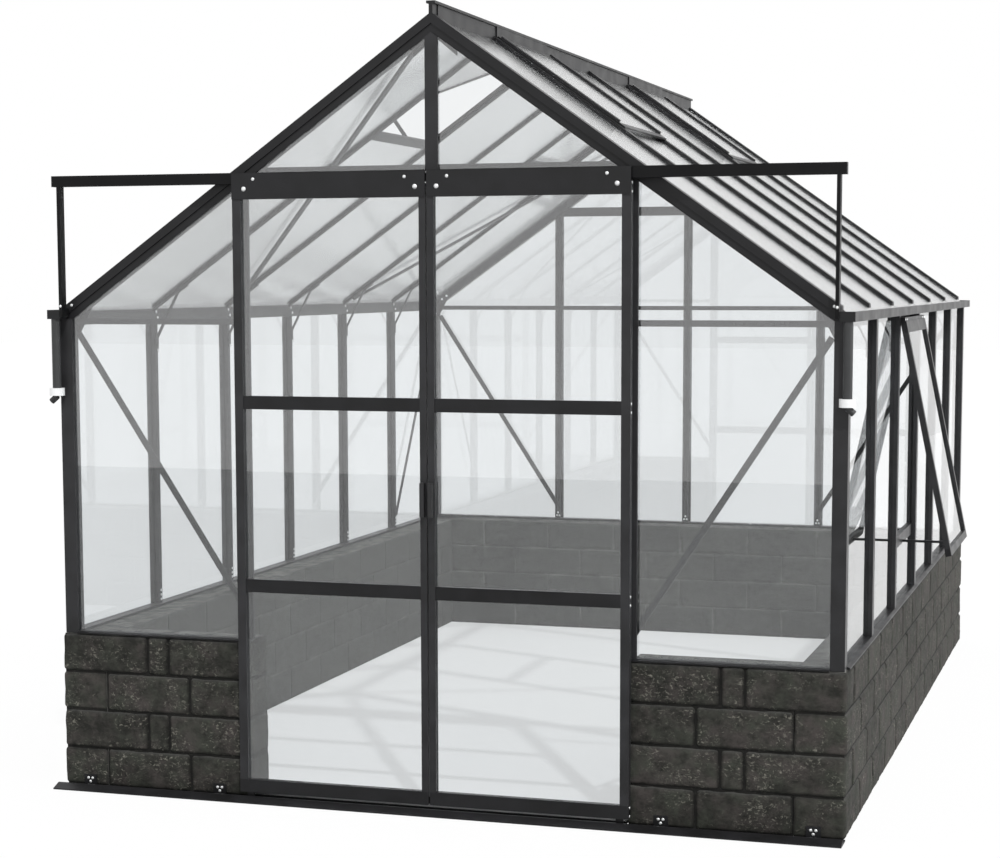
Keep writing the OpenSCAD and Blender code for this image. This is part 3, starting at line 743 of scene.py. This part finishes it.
@dataclass
class BlockWalls:
    """The dwarf walls: four courses of split-face block in half bond, with each corner laid in turn."""

    palette: Palette
    courses: int = 4
    joint: float = 3 * MM
    block: float = 0.308
    thickness: float = 0.155
    outer_x: float = 1.272
    front_y: float = -0.010
    back_y: float = 3.690
    height: float = 0.5
    jamb_x: float = 0.612
    front_odd: Place = (0.285, 0.073, 0.302)  # lengths in the first and third course from the top
    front_even: Span = (0.211, 0.294)  # lengths in the second and fourth
    bulge: float = 1.0 * MM  # pillow of a split face
    break_depth: float = 2.6 * MM  # breaks of a split face
    inner_depth: float = 1.2 * MM  # unevenness of a pressed face
    breaks: tuple[Span, ...] = ((0.5, 0.045), (0.35, 0.02), (0.25, 0.011))  # share and cell of each noise
    inner_radius: float = 3 * MM  # of the unworn arrises inside
    wave: float = 1.6 * MM  # unevenness of the edges, which sink more than they rise
    wave_cell: float = 0.03
    wave_drop: float = 0.4
    wave_seed: int = 7
    end_reach: float = 1 * MM  # a block this close to the end of the wall shows its own end
    joint_and_shade_reach: float = 9.5 * MM  # how far from its edge a face shows the joint: as painted shade on the arrises of split faces, and as pale pointing inside
    joint_power: float = 1.3
    perpend_mark: float = 0.85  # upright joints inside show less than the beds
    inside_gain: float = 1.5
    inside_start: float = 0.4
    tone_spread: float = 0.5
    # painted light: the side walls' blocks are painted paler than the front, for the light that falls on them
    side_painted_light: float = 0.6
    rake: float = 7 * MM  # how far the mortar lies back outside
    flush: float = 1.5 * MM  # and inside
    side_seed: int = 11
    front_seed: int = 31
    back_seed: int = 51
    shape: BlockShape = field(default_factory=BlockShape)

    def course(self, k: int) -> Span:
        """Gives the bottom and top of course k, counted from 0 at the top."""
        step = self.height / self.courses
        return self.height - (k + 1) * step, self.height - k * step

    def even_lengths(self, total: float) -> list[float]:
        """Splits a length into the nearest whole number of blocks."""
        count = round(total / self.block)
        return [total / count] * count

    def dress(self, wall: str, run: BlockRun, to_world: Array, outer_sign: float, seed: int,
              pale: float = 0.0) -> None:
        """Builds all the blocks of a wall as one piece, which stands for the wall's node.

        Each point stands on a box with rounded arrises: the nearest point of the inner box plus the
        arris radius along the way out. The arrises inside the house are unworn and so sharper. The
        broken face then moves out by a pillow shape, (1 - x^4)(1 - z^4), and by three sizes of noise.

        Args:
            wall: The wall's name.
            run: The blocks in the wall's own axes: along, across and up.
            to_world: The wall's axes as rows in the frame.
            outer_sign: Which way across the wall is outside.
            seed: Picks the wall's own breaks.
            pale: How much paler than the front the wall's blocks are painted, as painted light.
        """
        pairs, faces = self.shape.template()
        middles, halves = np.array(run.middles)[:, None, :], np.array(run.halves)[:, None, :]
        arrises = np.array(run.arrises)[:, None]

        # Arrises are worn outside and round the two ends of the wall
        ends = np.stack([middles[..., 0] - halves[..., 0], -middles[..., 0] - halves[..., 0]])
        free = ends - ends.min(axis=1, keepdims=True) < self.end_reach
        free_end = np.where(pairs[None, :, 0, 0] < 0, free[0], free[1])
        unworn = (pairs[:, 1, 0] * outer_sign < 0) & ~(free_end & (np.abs(pairs[:, 0, 0]) == 1))
        r = np.where(unworn, np.minimum(arrises, self.inner_radius), arrises)[..., None]

        # Box with round arrises
        raw = pairs[None, :, :, 0] * (halves - r) + pairs[None, :, :, 1] * r
        core = np.clip(raw, -(halves - r), halves - r)
        way = raw - core
        way /= np.linalg.norm(way, axis=-1, keepdims=True)
        local = core + r * way
        world = (local + middles) @ to_world
        face = way[..., 1] * outer_sign

        # Broken faces and wavy edges; the mortar, which is laid last, keeps straight edges
        part = np.clip(np.abs(local) / halves, 0, 1)
        pillow = (1 - part[..., 0] ** 4) * (1 - part[..., 2] ** 4)
        breaks = sum(share * lattice_noise(world, cell, seed + n) for n, (share, cell) in enumerate(self.breaks))
        depth = np.where(face > 0, self.break_depth, self.inner_depth) * breaks
        out = np.abs(way[..., 1]) * (depth + np.where(face > 0, self.bulge, 0.0) * pillow)
        wave = lattice_noise(world, self.wave_cell, seed + self.wave_seed) - self.wave_drop
        edges = np.hypot(way[..., 0], way[..., 2]) * self.wave * wave
        edges[-1] = 0.0

        # Marks for the finish: close to a joint, which on split faces is painted shade over the round arrises and
        # on inner faces is pale pointing; inside or on top; and the tone of each block
        along, across, up = np.moveaxis(1 - np.clip((halves - np.abs(local)) / self.joint_and_shade_reach, 0, 1), -1, 0)
        upright = np.where(free_end & (local[..., 1] * outer_sign > 0), 0.0, np.minimum(along, across))
        upright = upright * np.where(face < 0, self.perpend_mark, 1.0)
        near = np.maximum(np.minimum(np.maximum(along, across), up), upright) ** self.joint_power
        near[-1] = self.perpend_mark
        inside = np.clip(np.maximum(-face, way[..., 2]) * self.inside_gain - self.inside_start, 0, 1)
        inside = inside * np.where(free_end, 1 - np.abs(way[..., 0]), 1.0)
        # each block's tone: a random draw, plus on the side walls a paler shift that is painted light
        draws = np.random.default_rng(seed).uniform(-self.tone_spread, self.tone_spread, (len(run.middles), 1))
        tone = np.broadcast_to(pale + draws, near.shape)
        marks = {"tone": tone.reshape(-1), "joint": near.reshape(-1), "inside": inside.reshape(-1)}

        world = (local + way * (out + edges)[..., None] + middles) @ to_world
        every = (faces + len(pairs) * np.arange(len(run.middles))[:, None, None]).reshape(-1, 4)
        if np.linalg.det(to_world) < 0:
            every = every[:, ::-1]
        make_piece(f"blocks_{wall}", (world.reshape(-1, 3), [every]), self.palette.slots[Slot.MASONRY], Body.HOUSE,
                   replaced=(f"wall_{wall}",), marks=marks)

    def side(self, side: Side) -> None:
        """Builds the long wall of one side, whose second and fourth courses run through both corners.

        Args:
            side: The half of the house.
        """
        run = BlockRun(self.shape.radius)
        inner, outer = self.outer_x - self.thickness, self.outer_x
        for k in range(self.courses):
            start = self.front_y + (self.thickness if k % 2 == 0 else 0.0)
            end = self.back_y - (self.thickness if k % 2 == 0 else 0.0)
            run.lay(start, self.even_lengths(end - start), (inner, outer), self.course(k), self.joint)
        run.bed((self.front_y + self.rake, inner + self.flush, self.flush),
                (self.back_y - self.rake, outer - self.rake, self.height - self.flush))
        axes = np.array([[0.0, 1.0, 0.0], [float(side.value), 0.0, 0.0], [0.0, 0.0, 1.0]])
        self.dress(side.name.lower(), run, axes, 1.0, self.side_seed + side.value, self.side_painted_light)

    def front(self, side: Side) -> None:
        """Builds the short front wall of one side, from the jamb to the corner.

        Args:
            side: The half of the house.
        """
        run = BlockRun(self.shape.radius)
        depth = (self.front_y, self.front_y + self.thickness)
        for k in range(self.courses):
            lengths = self.front_odd if k % 2 == 0 else self.front_even
            run.lay(self.jamb_x, list(lengths), depth, self.course(k), self.joint)
        run.bed((self.jamb_x + self.rake, depth[0] + self.rake, self.flush),
                (self.outer_x - self.thickness, depth[1] - self.flush, self.height - self.flush))
        axes = np.diag([float(side.value), 1.0, 1.0])
        self.dress(f"front_{side.name.lower()}", run, axes, -1.0, self.front_seed + side.value)

    def back(self) -> None:
        """Builds the back wall, whose first and third courses run through both corners."""
        run = BlockRun(self.shape.radius)
        depth = (self.back_y - self.thickness, self.back_y)
        for k in range(self.courses):
            reach = self.outer_x - (0.0 if k % 2 == 0 else self.thickness)
            run.lay(-reach, self.even_lengths(2 * reach), depth, self.course(k), self.joint)
        reach = self.outer_x - self.rake
        run.bed((-reach, depth[0] + self.flush, self.flush),
                (reach, depth[1] - self.rake, self.height - self.flush))
        self.dress("back", run, np.eye(3), 1.0, self.back_seed)

    def build(self) -> None:
        """Builds the five walls."""
        for side in Side:
            self.side(side)
            self.front(side)
        self.back()


# ---------------------------------------------------------------- fixings


@dataclass
class Fixings:
    """Low-headed screws and bolts on washers, one piece a body.

    The profile of a head is in shares of its radius. Places on doors, tabs, struts, rafters, bars and
    gussets are those of the right half, and the left half mirrors them.
    """

    palette: Palette
    around: int = 12
    washer: float = 1.3
    washer_foot: float = -0.1
    washer_top: float = 0.16
    shoulder: float = 0.20
    dome_foot: float = 0.28
    dome_rise: float = 0.16
    dome_rings: int = 4
    crown: float = 0.25
    header_y: float = -0.056
    header_bolts: tuple[Place, ...] = (  # x, z and radius
        (0.590, 1.915, 0.0056), (0.034, 1.915, 0.0056), (0.559, 1.9445, 0.0040), (0.067, 1.9445, 0.0040))
    door_edge: Span = (0.631, -0.040)  # x and y
    door_edge_z: tuple[float, ...] = (0.0485, 0.6865, 1.2595, 1.9045)
    door_edge_apart: float = 0.013
    door_edge_screw: float = 0.0035
    tab_y: float = -0.014
    tab_x: Span = (0.720, 1.1785)
    tab_triad: tuple[Span, ...] = ((-0.0075, 0.0265), (0.0075, 0.0265), (0.0, 0.0150))
    tab_bolt: float = 0.0036
    track_middle: Place = (0.002, -0.046, 1.957)
    track_bolt: float = 0.0040
    strut_foot: Place = (1.2315, -0.046, 1.556)
    strut_bolt: float = 0.0034
    rafter_foot: Place = (1.2170, 0.0, 1.5585)
    rafter_bolt: float = 0.0036
    bar_y: tuple[float, ...] = (0.628, 1.234, 1.840, 2.446, 3.052)
    bar_bolts: tuple[tuple[float, float, float, float], ...] = (  # x, shift along Y, z and radius
        # eave joint
        (1.2220, 0.0, 1.5090, 0.0042), (1.2370, 0.020, 1.5290, 0.0042),
        # foot of the knee strap
        (1.2230, 0.0, 1.3965, 0.0036),
        # foot of the post
        (1.2280, 0.0, 0.5210, 0.0036), (1.2280, 0.0, 0.5370, 0.0036), (1.2280, 0.0, 0.5530, 0.0036))
    gusset_planes: tuple[tuple[float, Place], ...] = ((0.047, TO_BACK), (3.633, TO_FRONT))  # y and facing
    gusset_bolts: tuple[Span, ...] = (  # x and z, at the eave and then at the apex
        (1.2280, 1.4800), (1.2280, 1.5050), (1.1950, 1.5480), (1.1720, 1.5640),
        (0.0300, 2.3720), (0.0560, 2.3540))
    gusset_bolt: float = 0.0042
    back_post_x: tuple[float, ...] = (-0.620, 0.0, 0.620)
    back_post_y: float = 3.650
    back_post_triad: tuple[Span, ...] = ((-0.006, 0.5200), (0.006, 0.5200), (0.0, 0.5340))
    back_post_bolt: float = 0.0036
    sill_clip_x: tuple[float, ...] = (-1.080, -0.930, -0.310, 0.310, 0.930, 1.080)
    sill_clip_yz: Span = (3.6415, 0.508)
    sill_clip: float = 0.0048
    hinge_y: tuple[float, ...] = (1.250, 1.300, 1.774, 1.824)
    hinge_xz: Span = (1.278, 1.499)
    hinge_screw: float = 0.0034
    rows: dict[Body, list[tuple[Place, Place, float]]] = field(default_factory=dict)

    def put(self, body: Body, centre: Place, normal: Place, radius: float) -> None:
        """Adds one fixing: where it sits, which way it faces, and the radius of its head."""
        self.rows.setdefault(body, []).append((centre, normal, radius))

    def head(self) -> Mesh:
        """Turns the profile of a low domed head of radius 1 on its washer.

        The dome's rings are (cos a, foot + rise sin a), for an angle a that runs up to a flat crown.

        Returns:
            The points and the faces.
        """
        dome = np.linspace(0, math.pi / 2, self.dome_rings)[:-1]
        rings = [(self.washer, self.washer_foot), (self.washer, self.washer_top), (1.0, self.shoulder),
                 *zip(np.cos(dome), self.dome_foot + self.dome_rise * np.sin(dome)),
                 (self.crown, self.dome_foot + self.dome_rise)]
        return turned(np.array(rings), self.around)

    def doors(self) -> None:
        """Sets the bolts of the hung header plates and the screws in the door edges."""
        for body, side in ((Body.LEFT_DOOR, Side.LEFT), (Body.RIGHT_DOOR, Side.RIGHT)):
            s = float(side.value)
            for x, z, radius in self.header_bolts:
                self.put(body, (s * x, self.header_y, z), TO_FRONT, radius)
            x, y = self.door_edge
            for z, way in product(self.door_edge_z, (-1, 1)):
                self.put(body, (s * x, y, z + way * self.door_edge_apart), (s, 0.0, 0.0), self.door_edge_screw)

    def threshold(self) -> None:
        """Sets a triad of bolts in each tab of the threshold rail."""
        for side, x, (dx, z) in product(Side, self.tab_x, self.tab_triad):
            self.put(Body.HOUSE, (side.value * x + dx, self.tab_y, z), TO_FRONT, self.tab_bolt)

    def eaves(self) -> None:
        """Sets the bolts of the track, its struts and the rafters, and those of each post inside."""
        self.put(Body.HOUSE, self.track_middle, TO_FRONT, self.track_bolt)
        for side in Side:
            s = float(side.value)
            for (x, y, z), radius in ((self.strut_foot, self.strut_bolt), (self.rafter_foot, self.rafter_bolt)):
                self.put(Body.HOUSE, (s * x, y, z), TO_FRONT, radius)
            for y, (x, shift, z, radius) in product(self.bar_y, self.bar_bolts):
                self.put(Body.HOUSE, (s * x, y + shift, z), (-s, 0.0, 0.0), radius)

    def gussets(self) -> None:
        """Sets the bolts of the plates in the gables, seen from inside."""
        for side, (y, way), (x, z) in product(Side, self.gusset_planes, self.gusset_bolts):
            self.put(Body.HOUSE, (side.value * x, y, z), way, self.gusset_bolt)

    def back_sill(self) -> None:
        """Sets the bolts at the feet of the back posts and the clips on the back sill, seen from inside."""
        for x, (dx, z) in product(self.back_post_x, self.back_post_triad):
            self.put(Body.HOUSE, (x + dx, self.back_post_y, z), TO_FRONT, self.back_post_bolt)
        for x in self.sill_clip_x:
            self.put(Body.HOUSE, (x, *self.sill_clip_yz), TO_SKY, self.sill_clip)

    def window(self) -> None:
        """Sets the screws in the hinge of the side window."""
        x, z = self.hinge_xz
        for y in self.hinge_y:
            self.put(Body.HOUSE, (x, y, z), (1.0, 0.0, 0.0), self.hinge_screw)

    def build(self) -> None:
        """Sets every fixing and makes one piece a body."""
        self.doors()
        self.threshold()
        self.eaves()
        self.gussets()
        self.back_sill()
        self.window()
        for body, rows in self.rows.items():
            centres, normals, sizes = (np.array(x, dtype=float) for x in zip(*rows))
            shape = set_out(self.head(), centres, normals, sizes)
            make_piece(f"{body.value}_fixings", shape, self.palette.zinc, body)


# ---------------------------------------------------------------- roof vents


@dataclass
class VentBeads:
    """The glazing beads that hold the glass of each roof vent, along its two sides."""

    palette: Palette
    apex: float = 2.43271
    pitch: float = 35.2
    hinge: float = 16.28 * MM  # from the apex down the slope
    bays: Span = (0.628, 2.446)
    bay: float = 0.606
    long: float = 0.525
    margin: float = 10 * MM  # from the vent's sides and its hinge
    short: float = 28 * MM  # from its lower end
    width: float = 10 * MM
    rise: float = 9 * MM
    foot: float = 5.5 * MM  # above the plane of the hinge
    opened: float = 17.5
    steps: int = 7

    def outline(self) -> Array:
        """Gives the section of a bead: half a rounded oblong on a flat foot.

        Each point is (w/2 sqrt(cos a), h sqrt(sin a)), with the sign of the cosine, for an angle a
        that runs half way round.

        Returns:
            The points of the section, across and up.
        """
        angle = np.linspace(0, math.pi, self.steps)
        cosine, sine = np.cos(angle), np.clip(np.sin(angle), 0, 1)
        across = self.width / 2 * np.sign(cosine) * np.sqrt(np.abs(cosine))
        return np.stack([across, self.rise * np.sqrt(sine)], axis=-1)

    def vent(self, side: Side, bay_y: float, opening: float) -> list[Mesh]:
        """Makes the two beads of one vent, which stop short of its lower rail.

        Args:
            side: The roof slope.
            bay_y: Where the vent's bay begins.
            opening: How far the vent is opened, in degrees.

        Returns:
            The shapes of its beads.
        """
        slope, swing = math.radians(self.pitch), math.radians(self.pitch - opening)
        s = float(side.value)
        top = np.array([s * self.hinge * math.cos(slope), bay_y, self.apex - self.hinge * math.sin(slope)])
        down = np.array([s * math.cos(swing), 0.0, -math.sin(swing)])
        up = np.array([s * math.sin(swing), 0.0, math.cos(swing)])
        along = np.array([0.0, 1.0, 0.0])
        foot = top + self.foot * up
        first, last = foot + self.margin * down, foot + (self.long - self.short) * down
        return [swept(self.outline(), first + y * along, last + y * along, along, up)
                for y in (self.margin, self.bay - self.margin)]

    def build(self) -> None:
        """Makes the beads of the four vents as one piece; the front vent on the left is open."""
        shapes = []
        for side, y in product(Side, self.bays):
            is_open = side is Side.LEFT and y == self.bays[0]
            shapes += self.vent(side, y, self.opened if is_open else 0.0)
        make_piece("vent_beads", joined(shapes), self.palette.slots[Slot.FRAME], Body.HOUSE,
                   smooth=False)


# ---------------------------------------------------------------- studio


@dataclass(frozen=True)
class Lamp:
    """One far lamp. Its azimuth runs from the front of the house towards the right; angles are degrees."""

    name: str
    strength: float
    spread: float
    elevation: float
    azimuth: float


@dataclass
class Studio:
    """The floor, the light and the camera at the photograph's angle."""

    floor_x: Span = (-60.0, 60.0)
    floor_y: Span = (-11.0, 46.0)
    floor_drop: float = 1 * MM
    floor_lines: int = 5
    floor_colour: str = "#EAEAEA"
    # painted shade: the floor ahead of the house, as mirrors see it
    floor_mirrored_shade: str = "#7E7E7E"
    floor_fade: Span = (0.6, -0.6)  # y where the painted shade seen in mirrors begins, and where it is full
    floor_seen_white: float = 0.94
    floor_through_white: float = 0.55
    sky_light: float = 0.70
    lamps: tuple[Lamp, ...] = (
        Lamp("key_light", 2.0, 1.5, 51.2, 29.2), Lamp("fill_light", 1.4, 50.0, 25.0, 95.0))
    image: tuple[int, int] = (1000, 858)
    focal_px: float = 2145.07
    centre_px: Span = (500.0, 504.08)
    eye: Place = (2.1178, -6.1736, 1.6301)
    yaw: float = 17.1365
    pitch: float = 5.9131
    roll: float = 0.1126
    sensor_mm: float = 36.0
    clip: Span = (0.05, 500.0)

    def floor(self) -> None:
        """Lays the floor: a flat grid that shows white but keeps shadows, with painted shade ahead of the house
        that only mirrors show.
        """
        count = self.floor_lines
        x, y = np.meshgrid(np.linspace(*self.floor_x, count), np.linspace(*self.floor_y, count))
        points = np.stack([x, y, np.full(x.shape, -self.floor_drop)], axis=-1).reshape(-1, 3)
        mesh = bpy.data.meshes.new("floor")
        mesh.from_pydata(points.tolist(), [], grid_quads(count, count, False).tolist())
        material, tree, place = blank("pale_floor")
        path = add(tree, "LightPath").outputs
        apart = add(tree, "SeparateXYZ", {0: place})
        # painted shade on the floor ahead of the house, for glossy rays only
        ahead = add(tree, "MapRange", {
            "Value": apart.outputs["Y"], "From Min": self.floor_fade[0], "From Max": self.floor_fade[1]})
        mirrored = add(tree, "Math", {
            0: path["Is Glossy Ray"], 1: path["Is Transmission Ray"]}, operation="SUBTRACT", use_clamp=True)
        dimmed = add(tree, "Math", {0: mirrored, 1: ahead}, operation="MULTIPLY")
        shade = add(tree, "Mix", {
            FACTOR: dimmed, COLOUR_A: linear(self.floor_colour), COLOUR_B: linear(self.floor_mirrored_shade)},
            data_type="RGBA")
        matt = add(tree, "BsdfDiffuse", {"Color": shade.outputs[COLOUR_OUT]})
        white = add(tree, "Emission", {"Color": linear(WHITE), "Strength": 1.0})
        seen = add(tree, "Math", {0: path["Is Camera Ray"], 1: self.floor_seen_white}, operation="MULTIPLY")
        share = add(tree, "Math", {
            0: path["Is Transmission Ray"], 1: self.floor_through_white, 2: seen}, operation="MULTIPLY_ADD")
        mixed = add(tree, "MixShader", {0: share, 1: matt, 2: white})
        add(tree, "OutputMaterial", {"Surface": mixed})
        mesh.materials.append(material)
        made = bpy.data.objects.new("floor", mesh)
        bpy.context.scene.collection.objects.link(made)

    def light(self) -> None:
        """Sets a white sky, at full strength where it is seen, a key lamp and a broad fill from the right."""
        world = bpy.data.worlds.new("white_studio")
        bpy.context.scene.world = world
        world.use_nodes = True
        tree = world.node_tree
        tree.nodes.clear()
        path = add(tree, "LightPath").outputs
        seen = path["Is Camera Ray"]
        for ray in ("Is Glossy Ray", "Is Transmission Ray"):
            seen = add(tree, "Math", {0: seen, 1: path[ray]}, operation="MAXIMUM")
        level = add(tree, "MapRange", {"Value": seen, "To Min": self.sky_light, "To Max": 1.0})
        sky = add(tree, "Background", {"Color": linear(WHITE), "Strength": level})
        add(tree, "OutputWorld", {"Surface": sky})
        for lamp in self.lamps:
            self.hang(lamp)

    def hang(self, lamp: Lamp) -> None:
        """Hangs one far lamp.

        Args:
            lamp: The lamp.
        """
        data = bpy.data.lights.new(lamp.name, "SUN")
        data.energy, data.angle = lamp.strength, math.radians(lamp.spread)
        made = bpy.data.objects.new(lamp.name, data)
        tilt, turn = math.radians(90 - lamp.elevation), math.radians(lamp.azimuth)
        made.matrix_world = Matrix.Rotation(turn, 4, "Z") @ Matrix.Rotation(tilt, 4, "X")
        bpy.context.scene.collection.objects.link(made)

    def camera(self) -> None:
        """Sets the camera from the focal length, centre and angles that were fitted to the photograph."""
        yaw, pitch, roll = (math.radians(x) for x in (self.yaw, self.pitch, self.roll))
        ahead = np.array([-math.sin(yaw) * math.cos(pitch), math.cos(yaw) * math.cos(pitch), -math.sin(pitch)])
        level = np.array([math.cos(yaw), math.sin(yaw), 0.0])
        right = math.cos(roll) * level + math.sin(roll) * np.cross(ahead, level)
        up = np.cross(right, ahead)
        width, height = self.image
        data = bpy.data.cameras.new("photo_camera")
        data.sensor_width = self.sensor_mm
        data.lens = self.focal_px * self.sensor_mm / width
        data.shift_x = (width / 2 - self.centre_px[0]) / width
        data.shift_y = (self.centre_px[1] - height / 2) / width
        data.clip_start, data.clip_end = self.clip
        made = bpy.data.objects.new("photo_camera", data)
        turn = Matrix(np.stack([right, up, -ahead], axis=1).tolist()).to_4x4()
        made.matrix_world = Matrix.Translation(self.eye) @ turn
        bpy.context.scene.collection.objects.link(made)
        bpy.context.scene.camera = made

    def build(self) -> None:
        """Sets up the floor, light, camera and view."""
        self.floor()
        self.light()
        self.camera()
        bpy.context.scene.view_settings.view_transform = "Standard"


def main() -> None:
    """Builds the studio, the finishes and every piece in order."""
    logging.basicConfig(level=logging.INFO, format="%(name)s %(message)s")
    Studio().build()
    palette = Palette()
    palette.dress_frame(frame["record"], frame["nodes"])
    BlockWalls(palette).build()
    Fixings(palette).build()
    VentBeads(palette).build()


if __name__ == "__main__":
    main()
